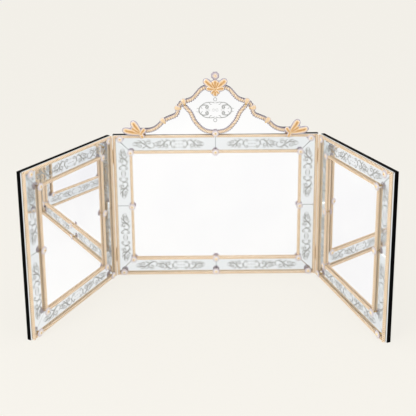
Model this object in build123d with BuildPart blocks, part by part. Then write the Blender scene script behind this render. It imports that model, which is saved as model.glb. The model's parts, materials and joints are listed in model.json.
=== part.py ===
"""Venetian triptych mirror: a centre panel with a crest and two hinged side wings.

Front faces -Y, +Z is up. The origin is the middle of the centre board's foot.
"""
from build123d import *
import os

os.makedirs("parts", exist_ok=True)

# Driving dimensions in millimetres, angles in degrees

# Panels, measured between the centre lines of their outer rods
centre_span = 860.0
wing_span = 505.0
panel_height = 622.0
strip_step = 69.0

# Layers, from the back to the front
board_thickness = 15.0
glass_thickness = 5.0
rod_diameter = 12.0
rod_seat = 0.2
board_margin = 7.3
plate_joint = 1.0
plate_inset = 1.3
plate_bevel = 1.2
board_bevel = 0.8

# How far each wing is swung forward from flat
left_fold = 63.6
right_fold = 73.0

# Rods
rod_end_round = 2.0
rod_butt_gap = 0.3
rod_screw_gap = 2.6

# Rosettes and the brass screws through them
rosette_radius = 15.0
petal_count = 8
petal_radius = 4.6
petal_height = 4.0
petal_tip_radius = 2.4
rosette_seat = 0.2
rosette_core_radius = 8.0
rosette_core_height = 5.5
corner_rosette_along = 26.0
corner_rosette_inward = 9.0
screw_radius = 1.5
screw_head_radius = 3.0
screw_head_height = 1.8
screw_bite = 10.0
screw_clearance = 0.1
glass_hole_clearance = 0.6

# Crest, measured from the centre line and from the top outer rods
crest_path = [(322, 25), (262, 25), (213, 72), (163, 92), (148, 143), (95, 160), (56, 207), (0, 216)]
crest_path_radii = [70, 60, 20, 22, 50, 40]
cartouche_path = [(131, 134), (104, 104), (88, 66), (52, 24), (0, 15)]
cartouche_path_radii = [60, 80, 60]
crest_board_gap = 0.3
crest_plate_base = 8.0
base_rosette_rise = 13.0

# Leaf sprays at the ends of the crest
spray_root = (314.0, 16.0)
spray_blades = [(56, 68.0, 26.0), (13, 81.0, 26.0), (34, 52.0, 20.0), (128, 30.0, 20.0), (-115, 22.0, 18.0)]
spray_thickness = 8.0
spray_root_radius = 13.0
leaf_taper = 12.0

# Small curled leaves on the edge of the crest, by their share of the way up the crest rod
curled_leaf_steps = (0.30, 0.53, 0.62)
curled_leaf_inset = 9.0
curled_leaf_length = 27.0
curled_leaf_width = 18.0
curled_leaf_thickness = 5.0
curled_leaf_root = 5.0

# Finial
finial_root_rise = 204.0
finial_blades = [(90, 42.0, 28.0), (42, 64.0, 26.0), (138, 64.0, 26.0), (66, 40.0, 20.0), (114, 40.0, 20.0)]
finial_blades += [(8, 40.0, 20.0), (172, 40.0, 20.0), (-90, 30.0, 22.0), (-50, 26.0, 16.0), (-130, 26.0, 16.0)]
finial_core_radius = 15.0
finial_thickness = 11.0
flower_rise = 262.0
flower_radius = 18.5
flower_heart_radius = 12.5
flower_heart_tip = 6.0
flower_depth = 26.0
flower_petal_count = 6
flower_petal_radius = 7.5
flower_petal_tip = 3.5
flower_petal_depth = 17.0
flower_petal_ring = 11.0
flower_stem_start = 7.0
stem_radius = 3.0
stem_clearance = 0.1
stem_bite = 12.0

# Battens, hanging plates and wood screws at the back
batten_spacing = 220.0
batten_width = 44.0
batten_thickness = 18.0
batten_foot = 380.0
batten_head_rise = 111.0
batten_screw_steps = (-200.0, -30.0, 24.0, 48.0)
wood_screw_radius = 2.0
wood_screw_length = 28.0
wood_screw_head_radius = 4.0
hanger_width = 24.0
hanger_length = 82.0
hanger_overlap = 50.0
hanger_thickness = 2.0
recess_clearance = 0.05
hanger_hole_radius = 4.5
hanger_hole_drop = 15.0
hanger_screw_steps = (12.0, 38.0)
hanger_screw_bite = 13.0

# Hinges, with the pin line between the two outer rods
hinge_reach = 8.5
hinge_length = 60.0
hinge_inset = 95.0
knuckle_radius = 2.2
knuckle_gap = 0.3
pin_radius = 1.0
pin_clearance = 0.05
pin_head_height = 1.2
pin_head_inset = 0.2
leaf_thickness = 1.0
leaf_setback = 2.6
leaf_rim = 2.0
hinge_screw_count = 3
hinge_screw_radius = 1.2
hinge_screw_head_radius = 2.2
hinge_screw_length = 12.0

# Worked out from the driving dimensions
rod_radius = rod_diameter / 2
glass_front = -(rod_radius + rod_seat)
board_front = glass_front - glass_thickness
board_back = board_front - board_thickness
rod_plane_y = board_back + board_thickness / 2
board_height = panel_height + 2 * board_margin
bottom_rod_z = board_margin
top_rod_z = board_margin + panel_height
middle_z = board_height / 2
pin_x = centre_span / 2 + hinge_reach
rosette_back = rod_radius + rosette_seat
rod_corner_gap = rod_radius + rod_butt_gap
leaf_air = hinge_reach - board_margin - leaf_thickness
leaf_backset = -board_back - leaf_rim
hanger_foot = top_rod_z + batten_head_rise - hanger_overlap
hanger_hole_z = hanger_foot + hanger_length - hanger_hole_drop
batten_face = board_back - batten_thickness

# Each panel has a plane through its rods that faces the viewer: x to the right, y up
centre_plane = Plane(origin=(0, rod_plane_y, 0), x_dir=(1, 0, 0), z_dir=(0, -1, 0))
left_turn = Location((-pin_x, rod_plane_y, 0), (0, 0, left_fold))
right_turn = Location((pin_x, rod_plane_y, 0), (0, 0, -right_fold))
flat_plane = Plane(origin=(0, 0, 0), x_dir=(1, 0, 0), z_dir=(0, -1, 0))
left_plane = Plane(left_turn * flat_plane.location)
right_plane = Plane(right_turn * flat_plane.location)


def write_node(name, pieces):
    """Joins the separate solids of one node and writes it under its name."""
    with BuildPart() as node:
        add(pieces)
    node.part.label = name
    export_step(node.part, f"parts/{name}.step")


# Flat pieces


def board(plane, left, right, fixings):
    """A painted wooden board with blind holes for the brass screws."""
    with BuildPart(plane) as piece:
        with BuildSketch(plane.offset(board_back)):
            with Locations(((left + right) / 2, board_height / 2)):
                Rectangle(right - left, board_height)
        extrude(amount=board_thickness)
        chamfer(back_edges(piece, plane), board_bevel)
        drill(fixings, screw_radius + screw_clearance, board_front - screw_bite - screw_clearance)
    return piece.part


def back_edges(piece, plane):
    """The edges of the face that is furthest back, without the foot's edge."""
    back = piece.faces().sort_by(Axis(plane.origin, plane.z_dir))[0]
    return back.edges().sort_by(Axis.Z)[1:]


def front_edges(piece, plane):
    """The edges round the face that is nearest to the viewer."""
    front = piece.faces().sort_by(Axis(plane.origin, plane.z_dir))[-1]
    return front.edges()


def drill(points, radius, depth):
    """Round holes in the current piece, from in front of the glass back to a depth."""
    reach = -depth
    with Locations(*[(x, z, depth) for x, z in points]):
        Cylinder(radius, reach, align=(Align.CENTER, Align.CENTER, Align.MIN), mode=Mode.SUBTRACT)


def plate(plane, corners, fixings):
    """A bevelled mirror plate on its board, with holes where screws pass."""
    with BuildPart(plane) as piece:
        with BuildSketch(plane.offset(board_front)):
            with BuildLine():
                Polyline(*corners, close=True)
            make_face()
        extrude(amount=glass_thickness)
        chamfer(front_edges(piece, plane), plate_bevel)
        drill(fixings, screw_radius + glass_hole_clearance, board_front)
    return piece.part


def inner_plate(plane, left, right, fixings):
    """The plain mirror plate inside the inner rods."""
    half = plate_joint / 2
    west = left + strip_step + half
    east = right - strip_step - half
    low = bottom_rod_z + strip_step + half
    high = top_rod_z - strip_step - half
    return plate(plane, [(west, low), (east, low), (east, high), (west, high)], fixings)


def level_strip(plane, left, right, start, end, top, fixings):
    """A strip along the top or bottom, mitred where it reaches a corner."""
    half = plate_joint / 2
    rod_z = top_rod_z if top else bottom_rod_z
    inward = -1 if top else 1
    outer_z = rod_z - inward * (board_margin - plate_inset)
    inner_z = rod_z + inward * (strip_step - half)
    overhang = board_margin - plate_inset
    if start <= left:
        outer_start = left - overhang + plate_joint
        inner_start = left + strip_step
    else:
        outer_start = inner_start = start + half
    if end >= right:
        outer_end = right + overhang - plate_joint
        inner_end = right - strip_step
    else:
        outer_end = inner_end = end - half
    corners = [(outer_start, outer_z), (outer_end, outer_z), (inner_end, inner_z), (inner_start, inner_z)]
    return plate(plane, corners, fixings)


def upright_strip(plane, rod_x, inward, start, end, fixings):
    """A strip along one side, mitred where it reaches a corner."""
    half = plate_joint / 2
    overhang = board_margin - plate_inset
    outer_x = rod_x - inward * overhang
    inner_x = rod_x + inward * (strip_step - half)
    if start <= bottom_rod_z:
        outer_start = bottom_rod_z - overhang + plate_joint
        inner_start = bottom_rod_z + strip_step
    else:
        outer_start = inner_start = start + half
    if end >= top_rod_z:
        outer_end = top_rod_z + overhang - plate_joint
        inner_end = top_rod_z - strip_step
    else:
        outer_end = inner_end = end - half
    corners = [(outer_x, outer_start), (outer_x, outer_end), (inner_x, inner_end), (inner_x, inner_start)]
    return plate(plane, corners, fixings)


# Glass rods


def straight_rod(plane, start, end):
    """One round glass rod with rounded ends, between two points of the rod plane."""
    near = plane.from_local_coords(Vector(start[0], start[1], 0))
    far = plane.from_local_coords(Vector(end[0], end[1], 0))
    with BuildPart() as rod:
        with BuildSketch(Plane(origin=near, z_dir=far - near)):
            Circle(rod_radius)
        extrude(amount=(far - near).length)
        fillet(rod.edges().filter_by(GeomType.CIRCLE), rod_end_round)
    return rod.part


def level_rods(plane, left, right, top, split):
    """The outer and the inner rod along the top or bottom, each in one or two lengths."""
    rod_z = top_rod_z if top else bottom_rod_z
    inner_z = rod_z - strip_step if top else rod_z + strip_step
    middle = (left + right) / 2
    ends = [(left + rod_corner_gap, right - rod_corner_gap, rod_z)]
    ends.append((left + strip_step + rod_corner_gap, right - strip_step - rod_corner_gap, inner_z))
    rods = []
    for start, end, z in ends:
        if split:
            rods.append(straight_rod(plane, (start, z), (middle - rod_screw_gap, z)))
            rods.append(straight_rod(plane, (middle + rod_screw_gap, z), (end, z)))
        else:
            rods.append(straight_rod(plane, (start, z), (end, z)))
    return rods


def upright_rods(plane, outer_x, inner_x):
    """The whole outer rod and the two lengths of the inner rod along one side."""
    low = bottom_rod_z + strip_step + rod_corner_gap
    high = top_rod_z - strip_step - rod_corner_gap
    foot = (outer_x, bottom_rod_z - rod_radius)
    head = (outer_x, top_rod_z + rod_radius)
    outer = straight_rod(plane, foot, head)
    lower = straight_rod(plane, (inner_x, low), (inner_x, middle_z - rod_screw_gap))
    upper = straight_rod(plane, (inner_x, middle_z + rod_screw_gap), (inner_x, high))
    return [outer, lower, upper]


# Rosettes and brass screws


def make_rosette():
    """A glass flower: a ring of petals that taper to their tips round a raised core."""
    ring = rosette_radius - petal_radius
    with BuildPart() as flower:
        Cylinder(ring, petal_height / 2, align=(Align.CENTER, Align.CENTER, Align.MIN))
        with PolarLocations(ring, petal_count):
            Cone(petal_radius, petal_tip_radius, petal_height, align=(Align.CENTER, Align.CENTER, Align.MIN))
        Cone(
            rosette_core_radius,
            rosette_core_radius / 2,
            rosette_core_height,
            align=(Align.CENTER, Align.CENTER, Align.MIN),
        )
        Cylinder(screw_radius + screw_clearance, 3 * rosette_core_height, mode=Mode.SUBTRACT)
    return flower.part


def brass_screws(plane, places, seat):
    """Round-headed screws whose heads sit at one depth and which all bite alike into the board."""
    length = seat - board_front + screw_bite
    with BuildPart() as screw:
        Cylinder(screw_radius, length, align=(Align.CENTER, Align.CENTER, Align.MAX))
        Cone(
            screw_head_radius,
            screw_head_radius / 2,
            screw_head_height,
            align=(Align.CENTER, Align.CENTER, Align.MIN),
        )
    return copies(plane, screw.part, places, seat)


def copies(plane, piece, places, depth):
    """The same piece at each place of a panel, at one depth from the rod plane."""
    with BuildPart(plane) as group:
        with Locations(*[(x, z, depth) for x, z in places]):
            add(piece)
    return group.part


def corner_places(left, right):
    """The rosettes beside the four outer corners and on the four inner corners."""
    west = left + corner_rosette_along
    east = right - corner_rosette_along
    low = bottom_rod_z + corner_rosette_inward
    high = top_rod_z - corner_rosette_inward
    outer = [(west, low), (east, low), (east, high), (west, high)]
    west = left + strip_step
    east = right - strip_step
    low = bottom_rod_z + strip_step
    high = top_rod_z - strip_step
    return outer + [(west, low), (east, low), (east, high), (west, high)]


def side_places(left, right):
    """The rosettes halfway up the inner upright rods."""
    return [(left + strip_step, middle_z), (right - strip_step, middle_z)]


def level_middle_places():
    """The rosettes at the middle of the centre panel's level rods."""
    outer = [(0, bottom_rod_z + corner_rosette_inward)]
    inner = [(0, bottom_rod_z + strip_step), (0, top_rod_z - strip_step)]
    return outer + inner


# Crest


def crest_points(path, side):
    """A crest path on one side of the centre line, in panel coordinates."""
    return [(side * x, top_rod_z + rise) for x, rise in path]


def crest_region():
    """The area under the crest rods, from side to side."""
    right = crest_points(crest_path, 1)
    left = crest_points(crest_path, -1)[::-1]
    radii = crest_path_radii + [0] + crest_path_radii[::-1]
    base = top_rod_z + crest_plate_base
    with BuildSketch() as region:
        with BuildLine():
            outline = FilletPolyline(*right, *left[1:], radius=radii)
            Polyline(outline @ 1, (left[-1][0], base), (right[0][0], base), outline @ 0)
        make_face()
    return region.sketch


def cartouche_region():
    """The area above the cartouche rods, closed well above the crest."""
    right = crest_points(cartouche_path, 1)
    left = crest_points(cartouche_path, -1)[::-1]
    radii = cartouche_path_radii + [0] + cartouche_path_radii[::-1]
    reach = 2 * crest_path[0][0]
    with BuildSketch() as region:
        with BuildLine():
            outline = FilletPolyline(*right, *left[1:], radius=radii)
            high = (outline @ 0).Y + reach
            wide = reach / 4
            Polyline(outline @ 1, (-wide, (outline @ 1).Y + wide / 2), (-wide, high), (wide, high),
                     (wide, (outline @ 0).Y + wide / 2), outline @ 0)
        make_face()
    return region.sketch


def crest_board(fixings):
    """The scalloped black board that stands on the centre board."""
    outline = crest_region()
    base = top_rod_z + board_margin + crest_board_gap
    reach = 2 * crest_path[0][0] + 4 * board_margin
    with BuildSketch() as profile:
        add(outline)
        offset(amount=board_margin)
        with Locations((0, base)):
            Rectangle(reach, reach, align=(Align.CENTER, Align.MAX), mode=Mode.SUBTRACT)
    with BuildPart(centre_plane) as piece:
        with BuildSketch(centre_plane.offset(board_back)):
            add(profile.sketch)
        extrude(amount=board_thickness)
        drill(fixings, screw_radius + screw_clearance, board_front - screw_bite - screw_clearance)
    return piece.part


def crest_plates(fixings):
    """The cartouche plate and the two spandrel plates, cut along the cartouche rods."""
    outline = crest_region()
    cartouche = cartouche_region()
    half = plate_joint / 2
    with BuildSketch() as oval:
        add(outline)
        add(cartouche, mode=Mode.INTERSECT)
        offset(amount=-half)
    with BuildSketch() as widened:
        add(cartouche)
        offset(amount=half)
    with BuildSketch() as spandrels:
        add(outline)
        add(widened.sketch, mode=Mode.SUBTRACT)
        Rectangle(2 * rod_screw_gap, 4 * top_rod_z, mode=Mode.SUBTRACT)
    sides = spandrels.faces().sort_by(Axis.X)
    return [crest_plate(face, fixings) for face in (oval.sketch, sides[0], sides[-1])]


def crest_plate(face, fixings):
    """One flat plate of the crest from its outline."""
    with BuildPart(centre_plane) as piece:
        with BuildSketch(centre_plane.offset(board_front)):
            add(face)
        extrude(amount=glass_thickness)
        drill(fixings, screw_radius + glass_hole_clearance, board_front)
    return piece.part


def curved_rod(path, radii, side):
    """A round glass rod bent along one side of a crest path."""
    points = crest_points(path, side)
    foot = points[-1]
    before = points[-2]
    share = rod_screw_gap / abs(foot[0] - before[0])
    points[-1] = (side * rod_screw_gap, foot[1] + (before[1] - foot[1]) * share)
    spots = [centre_plane.from_local_coords(Vector(x, z, 0)) for x, z in points]
    with BuildPart() as rod:
        with BuildLine() as line:
            FilletPolyline(*spots, radius=radii)
        with BuildSketch(Plane(origin=line.line @ 0, z_dir=line.line % 0)):
            Circle(rod_radius)
        sweep()
    return rod.part


def blade(angle, length, width):
    """A leaf-shaped face from the origin out to its tip, at an angle."""
    with BuildLine(Plane.XY.rotated((0, 0, angle))) as edge:
        ThreePointArc((0, 0), (length / 2, -width / 2), (length, 0))
        ThreePointArc((length, 0), (length / 2, width / 2), (0, 0))
    with BuildSketch() as face:
        add(edge.line)
        make_face()
    return face.sketch


def spray(side):
    """A fan of leaves at one end of the crest, on one root."""
    faces = [blade(angle, length, width) for angle, length, width in spray_blades]
    with BuildPart() as piece:
        with BuildSketch():
            add(faces)
            Circle(spray_root_radius)
        extrude(amount=spray_thickness, taper=leaf_taper)
        Cylinder(screw_radius + screw_clearance, 3 * spray_thickness, mode=Mode.SUBTRACT)
    shape = piece.part if side > 0 else piece.part.mirror(Plane.YZ)
    return shape


def curled_leaf():
    """A small leaf that lies across the crest rod, with its root on the inside."""
    face = blade(0, curled_leaf_length, curled_leaf_width)
    with BuildPart() as piece:
        with BuildSketch():
            add(face)
            Circle(curled_leaf_root)
        extrude(amount=curled_leaf_thickness)
        Cylinder(screw_radius + screw_clearance, 3 * curled_leaf_thickness, mode=Mode.SUBTRACT)
    return piece.part


def curled_leaf_spots(side):
    """The root and the heading of each small leaf: just inside the rod, pointing out across it."""
    with BuildLine() as line:
        FilletPolyline(*crest_points(crest_path, side), radius=crest_path_radii)
    spots = []
    for step in curled_leaf_steps:
        outward = (line.line % step).rotate(Axis.Z, -90 * side)
        root = line.line @ step - outward * curled_leaf_inset
        spots.append((root, outward.get_signed_angle(Vector(1, 0, 0), Vector(0, 0, -1))))
    return spots


def curled_leaves(spots):
    """The small leaves on both sides of the crest."""
    leaf = curled_leaf()
    with BuildPart(centre_plane) as group:
        for root, heading in spots:
            with Locations(Location((root.X, root.Y, rosette_back), (0, 0, heading))):
                add(leaf)
    return group.part


def finial_leaves():
    """The fan of leaves that carries the flower at the top of the crest."""
    faces = [blade(angle, length, width) for angle, length, width in finial_blades]
    seat = flower_rise - finial_root_rise - flower_radius - stem_bite
    with BuildPart() as piece:
        with BuildSketch():
            add(faces)
            Circle(finial_core_radius)
        extrude(amount=finial_thickness, taper=leaf_taper)
        Cylinder(screw_radius + screw_clearance, 3 * finial_thickness, mode=Mode.SUBTRACT)
        with Locations(Location((0, seat, finial_thickness / 2), (-90, 0, 0))):
            Cylinder(stem_radius + stem_clearance, 2 * stem_bite + flower_radius,
                     align=(Align.CENTER, Align.CENTER, Align.MIN), mode=Mode.SUBTRACT)
    return piece.part


def finial_flower():
    """A round flower of two layers of petals on a stem that plugs into the leaves."""
    stem_length = flower_radius - flower_stem_start + stem_bite - stem_clearance
    with BuildPart() as piece:
        double_cone(flower_heart_radius, flower_heart_tip, flower_depth)
        with PolarLocations(flower_petal_ring, flower_petal_count):
            double_cone(flower_petal_radius, flower_petal_tip, flower_petal_depth)
        with Locations(Location((0, -flower_stem_start, 0), (90, 0, 0))):
            Cylinder(stem_radius, stem_length, align=(Align.CENTER, Align.CENTER, Align.MIN))
    return piece.part


def double_cone(radius, tip_radius, depth):
    """A petal that is widest in the middle and tapers to both faces."""
    low = (Align.CENTER, Align.CENTER, Align.MIN)
    high = (Align.CENTER, Align.CENTER, Align.MAX)
    Cone(radius, tip_radius, depth / 2, align=low)
    Cone(tip_radius, radius, depth / 2, align=high)


# Back fittings


def wood_screw(radius, head_radius, length):
    """A countersunk screw whose head is flush with z = 0 and whose shank runs down."""
    with BuildPart() as screw:
        Cylinder(radius, length, align=(Align.CENTER, Align.CENTER, Align.MAX))
        Cone(radius, head_radius, head_radius - radius, align=(Align.CENTER, Align.CENTER, Align.MAX))
    return screw.part


def batten(x):
    """An upright batten that joins the crest board to the centre board."""
    length = top_rod_z + batten_head_rise - batten_foot
    with BuildPart(centre_plane) as piece:
        with BuildSketch(centre_plane.offset(board_back)):
            with Locations((x, batten_foot)):
                Rectangle(batten_width, length, align=(Align.CENTER, Align.MIN))
        extrude(amount=-batten_thickness)
        # The recess that the hanging plate lies in
        with BuildSketch(centre_plane.offset(batten_face)):
            with Locations((x, hanger_foot)):
                Rectangle(hanger_width + 2 * recess_clearance, length, align=(Align.CENTER, Align.MIN))
        extrude(amount=hanger_thickness, mode=Mode.SUBTRACT)
        bore_back(batten_screw_places(x), wood_screw_radius, wood_screw_head_radius, wood_screw_length,
                  batten_face)
        bore_back(hanger_screw_places(x), wood_screw_radius, wood_screw_radius, hanger_screw_bite,
                  batten_face)
    return piece.part


def bore_back(places, radius, head_radius, length, face):
    """Clearance for countersunk screws that go in from a face at the back."""
    with Locations(*[Location((x, z, face), (180, 0, 0)) for x, z in places]):
        Cylinder(radius + screw_clearance, length, align=(Align.CENTER, Align.CENTER, Align.MAX),
                 mode=Mode.SUBTRACT)
        if head_radius > radius:
            Cone(radius + screw_clearance, head_radius + screw_clearance, head_radius - radius,
                 align=(Align.CENTER, Align.CENTER, Align.MAX), mode=Mode.SUBTRACT)


def batten_screw_places(x):
    """Two screws into the centre board and two into the crest board."""
    return [(x, top_rod_z + step) for step in batten_screw_steps]


def hanger_screw_places(x):
    """The screws that hold a hanging plate on its batten."""
    return [(x, hanger_foot + step) for step in hanger_screw_steps]


def hanging_plate(x):
    """A steel plate let in flush with a batten's back, with a round hole above the batten's head."""
    with BuildPart(centre_plane) as piece:
        with BuildSketch(centre_plane.offset(batten_face)):
            with Locations((x, hanger_foot)):
                Rectangle(hanger_width, hanger_length, align=(Align.CENTER, Align.MIN))
            with Locations((x, hanger_hole_z)):
                Circle(hanger_hole_radius, mode=Mode.SUBTRACT)
        extrude(amount=hanger_thickness)
        bore_back(hanger_screw_places(x), wood_screw_radius, wood_screw_head_radius,
                  hanger_thickness * 2, batten_face)
    return piece.part


def back_screws(places, face, length):
    """Countersunk screws that go in from a face at the back."""
    screw = wood_screw(wood_screw_radius, wood_screw_head_radius, length)
    with BuildPart(centre_plane) as group:
        with Locations(*[Location((x, z, face), (180, 0, 0)) for x, z in places]):
            add(screw)
    return group.part


# Hinges


def hinge_heights():
    """The heights of the middle of the lower and the upper hinge."""
    return [hinge_inset, board_height - hinge_inset]


def knuckle_spans(outer):
    """The stretches of one hinge's pin line that its centre or its wing leaf takes."""
    third = hinge_length / 3
    if outer:
        return [(-hinge_length / 2, -third / 2), (third / 2, hinge_length / 2)]
    return [(-third / 2 + knuckle_gap, third / 2 - knuckle_gap)]


def hinge_leaf(plane, line_x, side, middle, outer):
    """One leaf of a butt hinge: a plate on the board's edge, tabs and knuckles."""
    depth = leaf_setback - leaf_backset
    leaf_x = line_x + side * (leaf_air + leaf_thickness / 2)
    with BuildPart(plane) as leaf:
        with Locations((leaf_x, middle, -leaf_setback)):
            Box(leaf_thickness, hinge_length, -depth, align=(Align.CENTER, Align.CENTER, Align.MAX))
        for start, end in knuckle_spans(outer):
            spot = middle + (start + end) / 2
            with Locations((leaf_x, spot, 0)):
                Box(leaf_thickness, end - start, leaf_setback, align=(Align.CENTER, Align.CENTER, Align.MAX))
            with Locations(Location((line_x, spot, 0), (90, 0, 0))):
                Cylinder(knuckle_radius, end - start)
        with Locations(Location((line_x, middle, 0), (90, 0, 0))):
            Cylinder(pin_radius + pin_clearance, 2 * hinge_length, mode=Mode.SUBTRACT)
        with Locations(*hinge_screw_locations(line_x, side, middle)):
            Cone(hinge_screw_radius + screw_clearance, hinge_screw_head_radius + screw_clearance,
                 leaf_thickness, align=(Align.CENTER, Align.CENTER, Align.MAX), mode=Mode.SUBTRACT)
    return leaf.part


def hinge_screw_locations(line_x, side, middle):
    """Where the leaf's screws start: on its open face, pointing away from the board's edge."""
    step = hinge_length / hinge_screw_count
    height = middle - step * (hinge_screw_count - 1) / 2
    depth = (board_front + board_back) / 2
    spots = [(line_x + side * leaf_air, height + step * turn, depth) for turn in range(hinge_screw_count)]
    return [Location(spot, (0, -90 * side, 0)) for spot in spots]


def hinge_screws(plane, line_x, side):
    """The countersunk screws that hold the leaves of one side on the board's edge."""
    with BuildPart() as screw:
        Cylinder(hinge_screw_radius, hinge_screw_length, align=(Align.CENTER, Align.CENTER, Align.MAX))
        Cone(hinge_screw_radius, hinge_screw_head_radius, leaf_thickness,
             align=(Align.CENTER, Align.CENTER, Align.MAX))
    with BuildPart(plane) as group:
        for middle in hinge_heights():
            with Locations(*hinge_screw_locations(line_x, side, middle)):
                add(screw.part)
    return group.part


def drill_edge(part, plane, line_x, side):
    """The same board with pilot holes in its edge for the hinge screws."""
    with BuildPart(plane) as piece:
        add(plane.to_local_coords(part))
        for middle in hinge_heights():
            with Locations(*hinge_screw_locations(line_x, side, middle)):
                Cylinder(hinge_screw_radius + screw_clearance, hinge_screw_length + screw_clearance,
                         align=(Align.CENTER, Align.CENTER, Align.MAX), mode=Mode.SUBTRACT)
    return piece.part


def hinge_pin(plane, line_x, middle):
    """The loose pin of a hinge, with a small head at each end."""
    with BuildPart(plane) as pin:
        with Locations(Location((line_x, middle, 0), (90, 0, 0))):
            Cylinder(pin_radius, hinge_length + 2 * pin_head_height)
        reach = hinge_length / 2 + pin_clearance + pin_head_height / 2
        for way in (1, -1):
            with Locations(Location((line_x, middle + way * reach, 0), (90, 0, 0))):
                Cylinder(knuckle_radius - pin_head_inset, pin_head_height)
    return pin.part


def drill_back(part):
    """A board with pilot holes in its back for the battens' screws."""
    with BuildPart(centre_plane) as piece:
        add(centre_plane.to_local_coords(part))
        for x in batten_sides:
            bore_back(batten_screw_places(x), wood_screw_radius, wood_screw_radius, wood_screw_length,
                      batten_face)
    return piece.part


# Assembly of one panel


def panel_pieces(plane, left, right, split, fixings):
    """The board, plates and rods that every panel has, by short name."""
    middle = (left + right) / 2
    board_left = left - board_margin
    board_right = right + board_margin
    pieces = {"backboard": board(plane, board_left, board_right, fixings)}
    pieces["mirror"] = inner_plate(plane, left, right, fixings)
    cuts = [(left, middle), (middle, right)] if split else [(left, right)]
    for name, top in (("top", True), ("bottom", False)):
        strips = [level_strip(plane, left, right, start, end, top, fixings) for start, end in cuts]
        pieces[name + "_strip"] = strips
        pieces[name + "_rods"] = level_rods(plane, left, right, top, split)
    halves = [(bottom_rod_z, middle_z), (middle_z, top_rod_z)]
    for name, rod_x, inward in (("west", left, 1), ("east", right, -1)):
        strips = [upright_strip(plane, rod_x, inward, start, end, fixings) for start, end in halves]
        pieces[name + "_strips"] = strips
        pieces[name + "_rods"] = upright_rods(plane, rod_x, rod_x + inward * strip_step)
    return pieces


rosette = make_rosette()
screw_depth = rosette_back + rosette_core_height


# Hinge leaves on the centre board, and the pins

centre_hinges = [(side * pin_x, middle, -side) for side in (-1, 1) for middle in hinge_heights()]
centre_leaves = [hinge_leaf(centre_plane, x, side, middle, True) for x, middle, side in centre_hinges]
centre_leaf_screws = [hinge_screws(centre_plane, side * pin_x, -side) for side in (-1, 1)]
hinge_pins = [hinge_pin(centre_plane, x, middle) for x, middle, side in centre_hinges]

# Battens and hanging plates

batten_sides = [-batten_spacing / 2, batten_spacing / 2]
battens = [batten(x) for x in batten_sides]
hangers = [hanging_plate(x) for x in batten_sides]
batten_screw_spots = [spot for x in batten_sides for spot in batten_screw_places(x)]
hanger_screw_spots = [spot for x in batten_sides for spot in hanger_screw_places(x)]
wood_screws = [
    back_screws(batten_screw_spots, batten_face, wood_screw_length - screw_clearance),
    back_screws(hanger_screw_spots, batten_face, hanger_screw_bite - screw_clearance),
]

# Centre panel

centre_left = -centre_span / 2
centre_right = centre_span / 2
centre_fixings = corner_places(centre_left, centre_right)
centre_fixings += side_places(centre_left, centre_right) + level_middle_places()
centre = panel_pieces(centre_plane, centre_left, centre_right, True, centre_fixings)
for side in (-1, 1):
    centre["backboard"] = drill_edge(centre["backboard"], centre_plane, side * pin_x, -side)
centre["backboard"] = drill_back(centre["backboard"])
centre_rosettes = copies(centre_plane, rosette, centre_fixings, rosette_back)
centre_screws = brass_screws(centre_plane, centre_fixings, screw_depth)

# Crest

curled_spots = curled_leaf_spots(-1) + curled_leaf_spots(1)
curled_places = [(root.X, root.Y) for root, heading in curled_spots]
spray_places = [(side * spray_root[0], top_rod_z + spray_root[1]) for side in (-1, 1)]
base_rosette_place = (0, top_rod_z + base_rosette_rise)
finial_place = (0, top_rod_z + finial_root_rise)
crest_fixings = curled_places + spray_places + [base_rosette_place, finial_place]
crest_backboard = drill_back(crest_board(crest_fixings))
cartouche_mirror, crest_left_mirror, crest_right_mirror = crest_plates(crest_fixings)
crest_right_rod = curved_rod(crest_path, crest_path_radii, 1)
crest_left_rod = curved_rod(crest_path, crest_path_radii, -1)
cartouche_rods = [curved_rod(cartouche_path, cartouche_path_radii, side) for side in (-1, 1)]
crest_left_leaf = copies(centre_plane, spray(-1), spray_places[:1], rosette_back)
crest_right_leaf = copies(centre_plane, spray(1), spray_places[1:], rosette_back)
crest_curled_leaves = curled_leaves(curled_spots)
crest_finial_leaves = copies(centre_plane, finial_leaves(), [finial_place], rosette_back)
flower_forward = rosette_back + finial_thickness / 2
crest_flower = copies(centre_plane, finial_flower(), [(0, top_rod_z + flower_rise)], flower_forward)
base_rosette = copies(centre_plane, rosette, [base_rosette_place], rosette_back)
crest_screws = [
    brass_screws(centre_plane, [base_rosette_place], screw_depth),
    brass_screws(centre_plane, curled_places, rosette_back + curled_leaf_thickness),
    brass_screws(centre_plane, spray_places, rosette_back + spray_thickness),
    brass_screws(centre_plane, [finial_place], rosette_back + finial_thickness),
]


# Wings: the pin line is the origin of a wing's plane

def wing_pieces(plane, side):
    """Everything on one wing, by the last words of its node's name."""
    near = side * hinge_reach
    far = side * (hinge_reach + wing_span)
    left, right = sorted((near, far))
    fixings = corner_places(left, right) + side_places(left, right)
    made = panel_pieces(plane, left, right, False, fixings)
    free, hinged = ("east", "west") if side > 0 else ("west", "east")
    pieces = {
        "backboard": drill_edge(made["backboard"], plane, 0, side),
        "mirror": made["mirror"],
        "top_strip": made["top_strip"],
        "bottom_strip": made["bottom_strip"],
        "outer_strips": made[free + "_strips"],
        "hinge_strips": made[hinged + "_strips"],
        "top_rods": made["top_rods"],
        "bottom_rods": made["bottom_rods"],
        "outer_rods": made[free + "_rods"],
        "hinge_rods": made[hinged + "_rods"],
        "rosettes": copies(plane, rosette, fixings, rosette_back),
        "rosette_screws": brass_screws(plane, fixings, screw_depth),
        "hinge_leaves": [hinge_leaf(plane, 0, side, middle, False) for middle in hinge_heights()],
        "hinge_screws": hinge_screws(plane, 0, side),
    }
    return pieces


# Every node by name

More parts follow.
